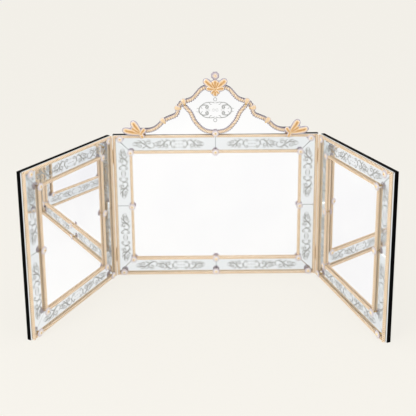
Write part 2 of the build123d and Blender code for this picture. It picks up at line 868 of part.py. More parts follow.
nodes = {
    "centre_backboard": centre["backboard"],
    "centre_mirror": centre["mirror"],
    "centre_top_strips": centre["top_strip"],
    "centre_bottom_strips": centre["bottom_strip"],
    "centre_left_strips": centre["west_strips"],
    "centre_right_strips": centre["east_strips"],
    "centre_top_rods": centre["top_rods"],
    "centre_bottom_rods": centre["bottom_rods"],
    "centre_left_rods": centre["west_rods"],
    "centre_right_rods": centre["east_rods"],
    "centre_rosettes": [centre_rosettes, base_rosette],
    "centre_rosette_screws": centre_screws,
    "crest_backboard": crest_backboard,
    "cartouche_mirror": cartouche_mirror,
    "crest_left_mirror": crest_left_mirror,
    "crest_right_mirror": crest_right_mirror,
    "crest_left_rod": crest_left_rod,
    "crest_right_rod": crest_right_rod,
    "cartouche_rods": cartouche_rods,
    "crest_left_leaf": crest_left_leaf,
    "crest_right_leaf": crest_right_leaf,
    "crest_curled_leaves": crest_curled_leaves,
    "finial_leaves": crest_finial_leaves,
    "finial_flower": crest_flower,
    "crest_screws": crest_screws,
    "crest_batten_left": battens[0],
    "crest_batten_right": battens[1],
    "back_screws": wood_screws,
    "hanging_plates": hangers,
    "hinge_centre_leaves": centre_leaves,
    "hinge_centre_screws": centre_leaf_screws,
    "hinge_pins": hinge_pins,
}
for side, word, plane in ((-1, "left", left_plane), (1, "right", right_plane)):
    for name, pieces in wing_pieces(plane, side).items():
        nodes[f"{word}_wing_{name}"] = pieces
for name, pieces in nodes.items():
    write_node(name, pieces)
print(len(nodes), "nodes")
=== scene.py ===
# %% [markdown]
# # A three-panel Venetian mirror, dressed on its CAD frame
# The real mirror is plate glass on black boards, framed in engraved strips, twisted amber rods,
# small glass flowers and leaves. The CAD gives every board, plate, screw and hinge its place.
# This script keeps those pieces, gives them their finishes, and models the blown and twisted
# glass again in Blender, because its shapes are too soft for CAD.

# %% The frame from the CAD
import json
import math

import bpy
from mathutils import Matrix, Vector


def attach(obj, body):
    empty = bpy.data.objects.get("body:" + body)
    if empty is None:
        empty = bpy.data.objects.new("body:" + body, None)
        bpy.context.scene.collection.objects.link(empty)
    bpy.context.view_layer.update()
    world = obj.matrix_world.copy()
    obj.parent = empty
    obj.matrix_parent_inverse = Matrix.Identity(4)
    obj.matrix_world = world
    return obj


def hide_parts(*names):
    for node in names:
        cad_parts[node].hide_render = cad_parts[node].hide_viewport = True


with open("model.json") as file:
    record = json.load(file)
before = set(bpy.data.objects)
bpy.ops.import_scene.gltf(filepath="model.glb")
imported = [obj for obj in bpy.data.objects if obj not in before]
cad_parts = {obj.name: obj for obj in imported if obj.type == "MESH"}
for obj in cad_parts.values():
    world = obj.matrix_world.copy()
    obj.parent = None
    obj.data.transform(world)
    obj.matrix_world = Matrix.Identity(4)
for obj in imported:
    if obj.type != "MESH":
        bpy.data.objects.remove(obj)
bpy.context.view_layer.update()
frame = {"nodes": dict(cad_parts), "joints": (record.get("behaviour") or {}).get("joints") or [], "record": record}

# %% [markdown]
# ## The three panel planes
# Each panel is drawn flat: x to the viewer's right, y up, z towards the viewer, and the rods' axes
# at z 0. The centre panel's plane starts at its middle, a wing's plane at its pin line. A matrix
# per panel carries finished pieces to their places, so that nothing is modelled on the slant.

# %% Panel planes
MM = 0.001


def panel_plane(x, fold):
    """The matrix from a panel's flat drawing to its place, folded about its upright line."""
    stand = Matrix(((1, 0, 0, 0), (0, 0, -1, 0), (0, 1, 0, 0), (0, 0, 0, 1)))
    return Matrix.Translation((x, rod_plane_y, 0)) @ Matrix.Rotation(fold, 4, "Z") @ stand


hinges = {joint["child"]: joint for joint in frame["joints"]}
pin_x = hinges["right_wing"]["pos_m"][0]
rod_plane_y = hinges["right_wing"]["pos_m"][1]
left_fold = -math.radians(hinges["left_wing"]["range_deg"][0])
right_fold = math.radians(hinges["right_wing"]["range_deg"][0])
planes = {
    "centre_panel": panel_plane(0, 0),
    "left_wing": panel_plane(-pin_x, left_fold),
    "right_wing": panel_plane(pin_x, right_fold),
}
print("folds:", round(math.degrees(left_fold), 1), round(math.degrees(right_fold), 1))

# %% [markdown]
# ## The sizes that the CAD part was drawn with
# All lengths are in metres. The rods run along both edges of a frame of strips, one strip step
# apart, and a small glass flower covers each place where rods meet.

# %% Sizes
half_span = 430 * MM
hinge_reach = 8.5 * MM
wing_span = 505 * MM
strip_step = 69 * MM
low_rod = 7.3 * MM
top_rod = 629.3 * MM
middle_rod = (low_rod + top_rod) / 2
rod_radius = 6 * MM
corner_gap = 6.3 * MM
screw_gap = 2.6 * MM
flower_seat = 6.2 * MM
glass_face = -6.2 * MM
corner_along = 26 * MM
corner_inward = 9 * MM

# %% [markdown]
# ## Small helpers for working in edit mode
# An operator acts on everything that is selected. These helpers first leave only one piece
# selected, and then pick its vertices, edges or faces by where they are.

# %% Picking and shaping in edit mode


def only(*pieces):
    """Leaves these pieces selected, with the last one active."""
    bpy.ops.object.select_all(action="DESELECT")
    for piece in pieces:
        piece.select_set(True)
    bpy.context.view_layer.objects.active = pieces[-1]


def pick(piece, kind, test):
    """Enters edit mode with the vertices, edges or faces that pass the test by their middle."""
    bpy.ops.object.mode_set(mode="OBJECT")
    mesh = piece.data
    for group in (mesh.vertices, mesh.edges, mesh.polygons):
        group.foreach_set("select", [False] * len(group))
    spots = [vertex.co for vertex in mesh.vertices]
    if kind == "VERT":
        for vertex in mesh.vertices:
            vertex.select = test(vertex.co)
    elif kind == "EDGE":
        for edge in mesh.edges:
            edge.select = test(*(spots[corner] for corner in edge.vertices))
    else:
        for face in mesh.polygons:
            face.select = test(face.center)
    bpy.context.tool_settings.mesh_select_mode = (kind == "VERT", kind == "EDGE", kind == "FACE")
    bpy.ops.object.mode_set(mode="EDIT")


def scale(x, y, z, centre=(0, 0, 0)):
    """Scales what is picked about a point."""
    bpy.ops.transform.resize(value=(x, y, z), center_override=centre)


def extrude(*step):
    """Extrudes what is picked by a step along x, y and z."""
    bpy.ops.mesh.extrude_region_move(TRANSFORM_OT_translate={"value": step})


def face_outward():
    """Turns all faces of the piece in edit mode outward."""
    bpy.ops.mesh.select_all(action="SELECT")
    bpy.ops.mesh.normals_make_consistent(inside=False)


def line_number(across, up, sides):
    """Which side line of a round piece a place lies on, counted from the first axis."""
    return round(math.atan2(up, across) / math.tau * sides)


# %% [markdown]
# The mirror repeats the same few shapes many times, so each shape is made once, copied, turned and
# joined. Dressing it comes last: a material, the body it moves with, and the CAD piece it replaces.

# %% Copying, joining and dressing


def finish_mesh(name):
    """Bakes the place and turn of the piece just added into its mesh, and names it."""
    piece = bpy.context.object
    only(piece)
    bpy.ops.object.transform_apply(location=True, rotation=True, scale=True)
    piece.name = name
    piece.data.name = name
    return piece


def add_modifier(piece, kind, **settings):
    """Adds one modifier with its settings and applies it."""
    only(piece)
    modifier = piece.modifiers.new(kind.lower(), kind)
    for key, value in settings.items():
        setattr(modifier, key, value)
    bpy.ops.object.modifier_apply(modifier=modifier.name)


def turned_copy(piece, matrix):
    """A copy with its own mesh, carried by a matrix."""
    copy = piece.copy()
    copy.data = piece.data.copy()
    bpy.context.collection.objects.link(copy)
    copy.data.transform(matrix)
    if matrix.determinant() < 0:
        copy.data.flip_normals()
    return copy


def join(pieces, name):
    """Joins loose pieces into one named object."""
    only(*pieces)
    bpy.ops.object.join()
    whole = bpy.context.object
    whole.name = name
    whole.data.name = name
    return whole


def discard(*pieces):
    """Removes the masters that only served to be copied."""
    for piece in pieces:
        bpy.data.objects.remove(piece)


def smooth(piece, angle=60):
    """Shades a piece smooth, except over edges sharper than the angle."""
    only(piece)
    bpy.ops.object.shade_smooth_by_angle(angle=math.radians(angle))


def write_rim(piece, amount):
    """Writes the rim attribute: 0 in the heart of a piece and 1 at its edge."""
    made = piece.data.attributes.new("rim", "FLOAT", "POINT")
    made.data.foreach_set("value", [amount(vertex.co) for vertex in piece.data.vertices])


def soften(piece, amount):
    """Leaves edit mode, writes the rim and rounds the piece with one step of subdivision."""
    bpy.ops.object.mode_set(mode="OBJECT")
    write_rim(piece, amount)
    add_modifier(piece, "SUBSURF", levels=1, render_levels=1)


def dress(piece, material, body, slot, *nodes):
    """Gives a finished piece its material and its body, and hides the nodes it stands for; the finish slot is not
    used.
    """
    piece.data.materials.clear()
    piece.data.materials.append(material)
    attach(piece, body)
    if nodes:
        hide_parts(*nodes)


# %% [markdown]
# ## Materials: how light meets glass, silver, paint and wood
# Every finish is made of nodes. One function turns a colour as a screen shows it into the linear
# numbers that the renderer needs, and one adds a node with its settings and links.

# %% Colour and node helpers


def colour(code):
    """A screen colour such as F0E0C0 as linear red, green, blue and alpha."""
    channels = [int(code[start:start + 2], 16) / 255 for start in (0, 2, 4)]
    linear = [c / 12.92 if c <= 0.04045 else ((c + 0.055) / 1.055) ** 2.4 for c in channels]
    return (*linear, 1)


def add_node(tree, kind, sockets=None, **settings):
    """Adds a node, sets its options, and fills its sockets with values or links."""
    made = tree.nodes.new(kind)
    for key, value in settings.items():
        setattr(made, key, value)
    for socket, source in (sockets or {}).items():
        if isinstance(source, bpy.types.NodeSocket):
            tree.links.new(source, made.inputs[socket])
        else:
            made.inputs[socket].default_value = source
    return made


def new_material(name):
    """An empty material and its node tree."""
    material = bpy.data.materials.new(name)
    material.use_nodes = True
    material.node_tree.nodes.clear()
    return material, material.node_tree


def surface(tree, **sockets):
    """A principled shader, linked to the output, with its sockets given by words."""
    named = {key.replace("_", " "): source for key, source in sockets.items()}
    shader = add_node(tree, "ShaderNodeBsdfPrincipled", named)
    add_node(tree, "ShaderNodeOutputMaterial", {"Surface": shader.outputs[0]})


def ramp(tree, source, *stops):
    """A colour ramp over a factor: stops of place and screen colour."""
    made = add_node(tree, "ShaderNodeValToRGB", {"Fac": source})
    elements = made.color_ramp.elements
    while len(elements) < len(stops):
        elements.new(0.5)
    for element, (place, code) in zip(elements, stops):
        element.position = place
        element.color = colour(code)
    return made.outputs["Color"]


def grain(tree, scale, detail=4.0, stretch=(1, 1, 1)):
    """Noise on object coordinates; its scale counts features per metre."""
    place = add_node(tree, "ShaderNodeTexCoord").outputs["Object"]
    turned = add_node(tree, "ShaderNodeMapping", {"Vector": place, "Scale": stretch}).outputs[0]
    noise = {"Vector": turned, "Scale": scale, "Detail": detail}
    return add_node(tree, "ShaderNodeTexNoise", noise).outputs["Fac"]


def bump(tree, height, depth, strength):
    """A bump from a height, with its real depth in metres."""
    relief = {"Height": height, "Distance": depth, "Strength": strength}
    return add_node(tree, "ShaderNodeBump", relief).outputs[0]


def spread(tree, factor, low, high):
    """A factor from 0 to 1, moved to lie between two numbers."""
    limits = {"Value": factor, "To Min": low, "To Max": high}
    return add_node(tree, "ShaderNodeMapRange", limits).outputs[0]


# %% [markdown]
# ### Silvered plate and engraved strips
# A mirror is a metal film behind glass: metallic, all but perfectly smooth. A faint drift of tint
# keeps it from looking like a hole in the picture, and old-style plate is never quite flat, which
# a very shallow, wide bump gives.

# %% Mirror materials


def silver_material(name, bright, dim):
    """Silvered glass that drifts between a bright and a dim tint."""
    material, tree = new_material(name)
    tint = ramp(tree, grain(tree, 2.2, 2.0), (0.3, bright), (0.75, dim))
    wave = bump(tree, grain(tree, 3.0, 1.0), 0.2 * MM, 0.2)
    surface(tree, Base_Color=tint, Metallic=1.0, Roughness=0.012, Normal=wave)
    return material


plain_silver = silver_material("plain_silver", "FFFFFF", "F9F9FB")
strip_silver = silver_material("strip_silver", "F1F3F4", "E4E8EA")

# %% [markdown]
# ### Frosted engraving
# The scrolls are ground into the glass with a small stone wheel. Ground glass scatters light and
# looks matt grey on the silver, lighter and darker where the wheel went lighter or deeper.

# %% Engraving material
frost, tree = new_material("frosted_engraving")
cut = grain(tree, 260.0, 3.0)
frost_tint = ramp(tree, cut, (0.3, "979A98"), (0.7, "C0C1C2"))
surface(tree, Base_Color=frost_tint, Roughness=0.65, Metallic=0.35)

# %% [markdown]
# ### Amber and clear glass
# A rod is drawn from a gather of amber glass, twisted while hot. Its colour holds painted light: the
# ridges of the twist get a painted highlight and look pale, the grooves painted shade, deeper amber.
# A mesh attribute called ridge, written while the rod is modelled, drives that change, so the painted
# light follows the twist on bent rods too. Leaves, flowers and ribbons carry an attribute called rim
# instead: amber in the heart, clear lilac grey at the edge. Thick glass also passes light on inside,
# and a faint painted glow, an emission that lifts the shaded side of each glass piece, stands in for that.

# %% Glass materials
seed_depth = 0.1 * MM
flow_share = 0.4


# Every glass piece gets a painted glow: an emission in its own tint that lifts its shaded side, though glass is no
# lamp. The number after the transmission is its strength.
def glass_material(name, attribute, clear, painted_glow, *stops):
    """Hot-worked glass, tinted by a mesh attribute from its first colour stop to its last, with a painted glow in
    that tint.
    """
    material, tree = new_material(name)
    place = add_node(tree, "ShaderNodeAttribute", attribute_name=attribute).outputs["Fac"]
    flow = {0: grain(tree, 110.0, 2.0), 1: flow_share, 2: place}
    mixed = add_node(tree, "ShaderNodeMath", flow, operation="MULTIPLY_ADD").outputs[0]
    tint = ramp(tree, mixed, *stops)
    seeds = bump(tree, grain(tree, 700.0, 2.0), seed_depth, 0.25)
    surface(
        tree, Base_Color=tint, Roughness=0.14, IOR=1.5, Transmission_Weight=clear, Normal=seeds,
        Coat_Weight=0.4, Coat_Roughness=0.04, Emission_Color=tint, Emission_Strength=painted_glow,
    )
    return material


# The rod's colour stops run from painted shade in the grooves to a painted highlight on the ridges.
rod_glass = glass_material(
    "rod_glass", "ridge", 0.12, 0.15, (0.2, "8C6238"), (0.62, "D8B88C"), (1.0, "FFF3E0"),
)
leaf_glass = glass_material(
    "leaf_glass", "rim", 0.15, 0.08,
    (0.05, "BE8C50"), (0.25, "E0B47A"), (0.5, "EFD8B6"), (0.75, "C6BCC4"), (0.98, "91889E"),
)
flower_glass = glass_material(
    "flower_glass", "rim", 0.2, 0.12, (0.2, "EFD0A0"), (0.6, "F3E8D8"), (1.0, "CFC7D0"),
)
bud_glass = glass_material(
    "bud_glass", "rim", 0.2, 0.08, (0.45, "ECD0A8"), (0.8, "DCCFC9"), (1.0, "B3A9B5"),
)
ruffle_glass = glass_material(
    "ruffle_glass", "rim", 0.2, 0.04, (0.3, "D9CDBD"), (0.75, "B7AFBC"), (1.0, "9E96A6"),
)

# %% [markdown]
# ### Boards, battens and metal
# The backs are matt black paint on board, with a fine stipple from the brush. The battens are
# planed softwood: grain runs along the length, so the noise is stretched upright. The hinges and
# the screws in front are brass, the hanging plates and the screws at the back zinc-plated steel.

# %% Board and metal materials
black_paint, tree = new_material("black_paint")
stipple = grain(tree, 900.0, 3.0)
surface(
    tree, Base_Color=ramp(tree, grain(tree, 14.0), (0.35, "010101"), (0.7, "040303")),
    Roughness=spread(tree, stipple, 0.5, 0.65), Specular_IOR_Level=0.02,
    Normal=bump(tree, stipple, 0.1 * MM, 0.4),
)

softwood, tree = new_material("softwood")
fibre = grain(tree, 120.0, 6.0, (1, 1, 0.04))
rings = grain(tree, 26.0, 2.0, (1, 1, 0.05))
wood_tint = ramp(tree, rings, (0.35, "D9B27C"), (0.55, "C6975B"), (0.7, "E2BF8D"))
surface(tree, Base_Color=wood_tint, Roughness=0.6, Normal=bump(tree, fibre, 0.3 * MM, 0.5))


def metal_material(name, bright, dull, rough):
    """A worn metal that drifts between a bright and a dull tint."""
    material, tree = new_material(name)
    tarnish = ramp(tree, grain(tree, 160.0, 4.0), (0.35, bright), (0.7, dull))
    wear = spread(tree, grain(tree, 420.0, 3.0), rough * 0.7, rough * 1.4)
    surface(tree, Base_Color=tarnish, Metallic=1.0, Roughness=wear)
    return material


brass = metal_material("brass", "EFD08A", "C9A25A", 0.22)
zinc = metal_material("zinc_steel", "C9CBCC", "A3A5A7", 0.32)
print("materials:", len(bpy.data.materials))

# %% [markdown]
# The CAD record says which finish each piece has. The pieces that Blender models again get theirs
# here too, and then give way to the pieces that replace them.

# %% Finishes on the CAD pieces
finish_of_slot = {
    "mirror": plain_silver,
    "engraved_mirror": strip_silver,
    "amber_glass": rod_glass,
    "clear_glass": flower_glass,
    "black_wood": black_paint,
    "raw_wood": softwood,
    "brass": brass,
    "steel": zinc,
}
for part in frame["record"]["subparts"]:
    node = frame["nodes"][part["node"]]
    for slot in node.material_slots:
        slot.material = finish_of_slot[part["material_slot"]]

# %% [markdown]
# ## A twisted rod
# A real rod is one gather of glass with ridges pressed into it, drawn out and twisted. Modelled by
# hand it is a short sleeve with three ridges, twisted by a third of a turn with the Simple Deform
# modifier. Three ridges repeat every third of a turn, so the Array modifier continues the sleeve
# into a rod of any length without a seam. The Curve modifier bends it for the crest.

# %% The sleeve of one third of a turn
ridge_count = 3
sleeve_sides = 4 * ridge_count
sleeve_length = 8 * MM
groove_share = 0.7
flank_share = 0.9
sleeve_cuts = 3


def side_of(spot):
    """How many side lines of the sleeve a vertex lies past a ridge."""
    return line_number(spot.x, spot.y, sleeve_sides) % 4


bpy.ops.mesh.primitive_cylinder_add(
    vertices=sleeve_sides, radius=rod_radius, depth=sleeve_length,
    end_fill_type="NOTHING", location=(0, 0, sleeve_length / 2),
)
sleeve = finish_mesh("sleeve")
sleeve.data.transform(Matrix.Rotation(math.pi / 2, 4, "Z"))
for line, share in ((2, groove_share), (1, flank_share), (3, flank_share)):
    pick(sleeve, "VERT", lambda spot: side_of(spot) == line)
    scale(share, share, 1)
pick(sleeve, "EDGE", lambda near, far: abs(near.z - far.z) > sleeve_length / 2)
bpy.ops.mesh.subdivide(number_cuts=sleeve_cuts)
bpy.ops.object.mode_set(mode="OBJECT")
# The ridge attribute carries painted light: 1 on a ridge for a painted highlight, 0 in a groove for painted shade.
ridge = sleeve.data.attributes.new("ridge", "FLOAT", "POINT")
painted_light_of_side = (1.0, 0.45, 0.0, 0.45)
ridge.data.foreach_set("value", [painted_light_of_side[side_of(vertex.co)] for vertex in sleeve.data.vertices])
third_turn = math.tau / ridge_count
add_modifier(sleeve, "SIMPLE_DEFORM", deform_method="TWIST", deform_axis="Z", angle=third_turn)
print("sleeve:", len(sleeve.data.polygons), "faces")

# %% [markdown]
# A rod of a given length is a row of sleeves, stretched a little to fill it. Its open ends are
# drawn in by short extrusions and closed, as the real rod is melted round.

# %% Rods of any length
cap_steps = ((0.8 * MM, 0.9), (0.8 * MM, 0.72), (0.3 * MM, 0.6))
cap_length = sum(step for step, share in cap_steps)


def upright_rod(length):
    """A closed twisted rod of a given length that stands on the origin."""
    count = max(2, round((length - 2 * cap_length) / sleeve_length))
    rod = turned_copy(sleeve, Matrix.Identity(4))
    add_modifier(
        rod, "ARRAY", count=count, use_relative_offset=False, use_constant_offset=True,
        constant_offset_displace=(0, 0, sleeve_length), use_merge_vertices=True,
        merge_threshold=0.05 * MM,
    )
    stretch = (length - 2 * cap_length) / (count * sleeve_length)
    rod.data.transform(Matrix.Translation((0, 0, cap_length)) @ Matrix.Diagonal((1, 1, stretch, 1)))
    for end, sign in ((length - cap_length, 1), (cap_length, -1)):
        pick(rod, "EDGE", lambda near, far: max(abs(near.z - end), abs(far.z - end)) < 0.01 * MM)
        place = end
        for step, share in cap_steps:
            extrude(0, 0, sign * step)
            place += sign * step
            scale(share, share, 1, (0, 0, place))
        bpy.ops.mesh.edge_face_add()
    face_outward()
    bpy.ops.object.mode_set(mode="OBJECT")
    return rod


def straight_rod(start, end):
    """A twisted rod between two points of a panel's flat drawing."""
    run = Vector((*end, 0)) - Vector((*start, 0))
    rod = upright_rod(run.length)
    turn = run.to_track_quat("Z", "Y").to_matrix().to_4x4()
    rod.data.transform(Matrix.Translation((*start, 0)) @ turn)
    return rod


# %% [markdown]
# The straight rods of a panel follow the same rule as in the CAD: the outer and the inner rod
# along the top and the bottom stop short of the corners, the uprights run past them, and the inner
# uprights are in two lengths that leave room for the screw of the flower between them.

# %% Straight rods of the three panels


def level_rods(left, right, outer_y, inner_y, split):
    """The outer and inner rods along the top or the bottom of a panel."""
    rods = []
    for start, end, y in (
        (left + corner_gap, right - corner_gap, outer_y),
        (left + strip_step + corner_gap, right - strip_step - corner_gap, inner_y),
    ):
        stops = (start, -screw_gap, screw_gap, end) if split else (start, end)
        rods += [straight_rod((near, y), (far, y)) for near, far in zip(stops[::2], stops[1::2])]
    return rods


def upright_rods(outer_x, inner_x):
    """The outer and inner rods along one side of a panel."""
    low = low_rod + strip_step + corner_gap
    high = top_rod - strip_step - corner_gap
    return [
        straight_rod((outer_x, low_rod - rod_radius), (outer_x, top_rod + rod_radius)),
        straight_rod((inner_x, low), (inner_x, middle_rod - screw_gap)),
        straight_rod((inner_x, middle_rod + screw_gap), (inner_x, high)),
    ]


def place_group(pieces, name, body, material, slot, *nodes):
    """Joins pieces drawn flat, carries them to their panel and dresses them."""
    group = join(pieces, name)
    group.data.transform(planes[body])
    group.data.update()
    smooth(group)
    dress(group, material, body, slot, *nodes)
    return group


# Each panel: how its pieces' names start, where its outer rods stand, and what its sides are called.
panels = {
    "centre_panel": ("centre", -half_span, half_span, "left", "right"),
    "left_wing": ("left_wing", -hinge_reach - wing_span, -hinge_reach, "outer", "hinge"),
    "right_wing": ("right_wing", hinge_reach, hinge_reach + wing_span, "hinge", "outer"),
}
for body, (prefix, left, right, west, east) in panels.items():
    split = body == "centre_panel"
    groups = {
        "top_rods": level_rods(left, right, top_rod, top_rod - strip_step, split),
        "bottom_rods": level_rods(left, right, low_rod, low_rod + strip_step, split),
        west + "_rods": upright_rods(left, left + strip_step),
        east + "_rods": upright_rods(right, right - strip_step),
    }
    for name, rods in groups.items():
        node = prefix + "_" + name
        place_group(rods, node + "_twisted", body, rod_glass, "amber_glass", node)
print("straight rods done")

# %% [markdown]
# ## The bent rods of the crest
# The crest's outline is a chain of straight runs with rounded corners. The chain is drawn as
# points, each corner is rounded with a vertex bevel whose reach follows from the corner's radius,
# and the result is turned into a curve that bends a straight twisted rod.

# %% Crest paths
crest_path = [(322, 25), (262, 25), (213, 72), (163, 92), (148, 143), (95, 160), (56, 207), (0, 216)]
crest_radii = [70, 60, 20, 22, 50, 40]
cartouche_path = [(131, 134), (104, 104), (88, 66), (52, 24), (0, 15)]
cartouche_radii = [60, 80, 60]
corner_cuts = 12


def rounded_path(points, radii):
    """A curve object through the points of the right-hand half, with rounded corners."""
    spots = [Vector((x * MM, top_rod + rise * MM, 0)) for x, rise in points]
    before, foot = spots[-2], spots[-1]
    spots[-1] = before + (foot - before) * ((before.x - screw_gap) / before.x)
    bpy.ops.mesh.primitive_plane_add(size=MM, location=spots[0])
    path = finish_mesh("path")
    pick(path, "VERT", lambda spot: True)
    bpy.ops.mesh.merge(type="CENTER")
    for near, far in zip(spots, spots[1:]):
        extrude(*(far - near))
    for index, radius in enumerate(radii, start=1):
        run_in = (spots[index] - spots[index - 1]).normalized()
        run_out = (spots[index + 1] - spots[index]).normalized()
        reach = radius * MM * math.tan(run_in.angle(run_out) / 2)
        pick(path, "VERT", lambda spot: (spot - spots[index]).length < 0.1 * MM)
        bpy.ops.mesh.bevel(affect="VERTICES", offset_type="OFFSET", offset=reach, segments=corner_cuts)
    bpy.ops.object.mode_set(mode="OBJECT")
    only(path)
    bpy.ops.object.convert(target="CURVE")
    return bpy.context.object


# %% [markdown]
# A rod takes its length from its path, so the path is measured first. The small leaves later ask
# for places along the same path.

# %% Measuring and following a path


def path_length(path):
    """The length of a curve object of one spline."""
    spots = [point.co.xyz for point in path.data.splines[0].points]
    return sum((far - near).length for near, far in zip(spots, spots[1:]))


def along(path, share):
    """The place at a share of a path's length from its outer end, and the way it runs there."""
    spots = [point.co.xyz for point in path.data.splines[0].points]
    if spots[0].x < spots[-1].x:
        spots.reverse()
    left = share * path_length(path)
    for near, far in zip(spots, spots[1:]):
        run = far - near
        if left <= run.length:
            return near + run.normalized() * left, run.normalized()
        left -= run.length
    return spots[-1], run.normalized()


def bent_rod(points, radii):
    """A twisted rod that follows the right-hand half of a crest path."""
    path = rounded_path(points, radii)
    rod = upright_rod(path_length(path))
    add_modifier(rod, "CURVE", object=path, deform_axis="POS_Z")
    discard(path)
    return rod


# %% [markdown]
# The right-hand rods are modelled and mirrored to the left. The crest has a rod on each side, and
# the two under the cartouche lie in one piece.

# %% Bent rods on both sides
mirror_x = Matrix.Diagonal((-1, 1, 1, 1))
crest_right = bent_rod(crest_path, crest_radii)
crest_left = turned_copy(crest_right, mirror_x)
lobe_right = bent_rod(cartouche_path, cartouche_radii)
lobe_left = turned_copy(lobe_right, mirror_x)
bent_groups = {
    "crest_right_rod": [crest_right],
    "crest_left_rod": [crest_left],
    "cartouche_rods": [lobe_left, lobe_right],
}
for node, rods in bent_groups.items():
    bent = place_group(rods, node + "_twisted", "centre_panel", rod_glass, "amber_glass", node)
    print(bent.name, len(bent.data.polygons), "faces")
discard(sleeve)

# %% [markdown]
# Under each bent rod lies a ruffled ribbon of clear glass, whose scalloped edges show as a pale
# fringe on both sides of the amber. One scallop is a small plate, narrow at its ends and wide in
# its middle; the Array and Curve modifiers repeat it along the same path.

# %% Ruffled ribbon under the bent rods
scallop_length = 9 * MM
ruffle_width = 18 * MM
ruffle_thickness = 2.4 * MM
ruffle_belly = 1.3
ruffle_waist = 0.82


def ruffle(points, radii):
    """A scalloped glass ribbon that lies on the plate along the right-hand half of a crest path."""
    bpy.ops.mesh.primitive_grid_add(x_subdivisions=4, y_subdivisions=4, size=1, location=(0.5, 0, 0))
    ribbon = finish_mesh("ribbon")
    pick(ribbon, "VERT", lambda spot: True)
    scale(scallop_length, ruffle_width, 1)
    pick(ribbon, "VERT", lambda spot: abs(spot.x - scallop_length / 2) < MM)
    scale(1, ruffle_belly, 1)
    pick(ribbon, "VERT", lambda spot: abs(spot.x - scallop_length / 2) > 4 * MM)
    scale(1, ruffle_waist, 1)
    bpy.ops.object.mode_set(mode="OBJECT")
    path = rounded_path(points, radii)
    count = round(path_length(path) / scallop_length)
    add_modifier(
        ribbon, "ARRAY", count=count, use_relative_offset=False, use_constant_offset=True,
        constant_offset_displace=(scallop_length, 0, 0), use_merge_vertices=True,
        merge_threshold=0.05 * MM,
    )
    add_modifier(ribbon, "SOLIDIFY", thickness=ruffle_thickness, offset=1)
    write_rim(ribbon, lambda spot: min(1.0, abs(spot.y) / (0.5 * ruffle_width)))
    add_modifier(ribbon, "CURVE", object=path, deform_axis="POS_X")
    discard(path)
    return ribbon


for name, points, radii in (
    ("crest_ruffle", crest_path, crest_radii),
    ("cartouche_ruffle", cartouche_path, cartouche_radii),
):
    right_ribbon = ruffle(points, radii)
    right_ribbon.data.transform(Matrix.Translation((0, 0, glass_face)))
    left_ribbon = turned_copy(right_ribbon, mirror_x)
    place_group([right_ribbon, left_ribbon], name, "centre_panel", ruffle_glass, "clear_glass")
    print(name, "laid under its rod")

# %% [markdown]
# ## Glass flowers over the joints
# Each joint of the rods is hidden by a pressed glass flower of eight petals, held by a brass screw
# through its middle. It starts as a flat disc, is extruded for its rim, and each ring of faces is
# inset and raised in turn: petals, the groove round the heart, and the heart that the screw sits on.

# %% One flower
petal_count = 8
petal_sides = 4 * petal_count
flower_radius = 15 * MM
rim_height = 1.4 * MM
# Each ring: how far in from the ring before, and how high it stands over the rods.
flower_rings = ((1.2, 2.4), (1.8, 3.6), (2.2, 4.0), (2.0, 3.0), (1.0, 2.9), (1.0, 4.9), (1.2, 5.5))
petal_start = 8 * MM
notch_share = 0.84
notch_press = 0.62


def on_notch_line(spot):
    """Whether a vertex of a round, eight-petalled piece lies on a line between two petals."""
    return line_number(spot.x, spot.y, petal_sides) % 4 == 0


def make_flower():
    """A pressed glass flower that lies on the plane z 0, with its heart up."""
    bpy.ops.mesh.primitive_circle_add(vertices=petal_sides, radius=flower_radius, fill_type="NGON")
    flower = finish_mesh("flower")
    pick(flower, "FACE", lambda spot: True)
    extrude(0, 0, rim_height)
    height = rim_height
    for inward, level in flower_rings:
        bpy.ops.mesh.inset(thickness=inward * MM)
        bpy.ops.transform.translate(value=(0, 0, level * MM - height))
        height = level * MM
    face_outward()
    # The notches between the petals: every fourth side line is drawn in and pressed down.
    pick(flower, "VERT", lambda spot: spot.xy.length > petal_start and on_notch_line(spot))
    scale(notch_share, notch_share, notch_press)
    soften(flower, lambda spot: min(1.0, spot.xy.length / flower_radius))
    return flower


# %% [markdown]
# The one flower is copied to every joint: near the outer corners, on the inner corners, half way up
# the inner uprights, and on the middle of the centre panel's rods.

# %% Flowers on the three panels
top_flower_rise = 13 * MM


def flower_spots(left, right, body):
    """The places of the flowers on one panel, as in the CAD."""
    spots = []
    for sign, corner in ((1, left), (-1, right)):
        for up, level in ((1, low_rod), (-1, top_rod)):
            spots.append((corner + sign * corner_along, level + up * corner_inward))
            spots.append((corner + sign * strip_step, level + up * strip_step))
        spots.append((corner + sign * strip_step, middle_rod))
    if body == "centre_panel":
        low_levels = (low_rod + corner_inward, low_rod + strip_step)
        high_levels = (top_rod - strip_step, top_rod + top_flower_rise)
        spots += [(0, level) for level in low_levels + high_levels]
    return spots


flower = make_flower()
for body, (prefix, left, right, *_) in panels.items():
    pieces = [
        turned_copy(flower, Matrix.Translation((x, y, flower_seat)))
        for x, y in flower_spots(left, right, body)
    ]
    node = prefix + "_rosettes"
    place_group(pieces, node + "_petalled", body, flower_glass, "clear_glass", node)
    print(node, len(pieces), "flowers")
discard(flower)

# %% [markdown]
# ## Hot-worked leaves
# The leaves of the crest are blobs of amber glass in a clear skin, pinched flat while hot and
# pressed with ribs. Each is lofted as by hand: a ribbed ring is extruded along the leaf, and at
# every step it is moved, tipped and scaled, so that it swells, arches forward and ends round.

# %% One leaf
leaf_sides = 16
# Each step along the leaf: share of its length, of its width, of its thickness, and its rise.
leaf_steps = (
    (0.00, 0.52, 0.80, 0.10), (0.10, 0.74, 1.00, 0.28), (0.26, 0.98, 1.00, 0.62),
    (0.44, 1.16, 0.92, 0.90), (0.62, 1.26, 0.82, 1.00), (0.78, 1.22, 0.74, 0.86),
    (0.90, 0.98, 0.66, 0.60), (0.97, 0.60, 0.52, 0.38), (1.00, 0.22, 0.30, 0.26),
)
rib_share = 0.8
rim_start = 0.2


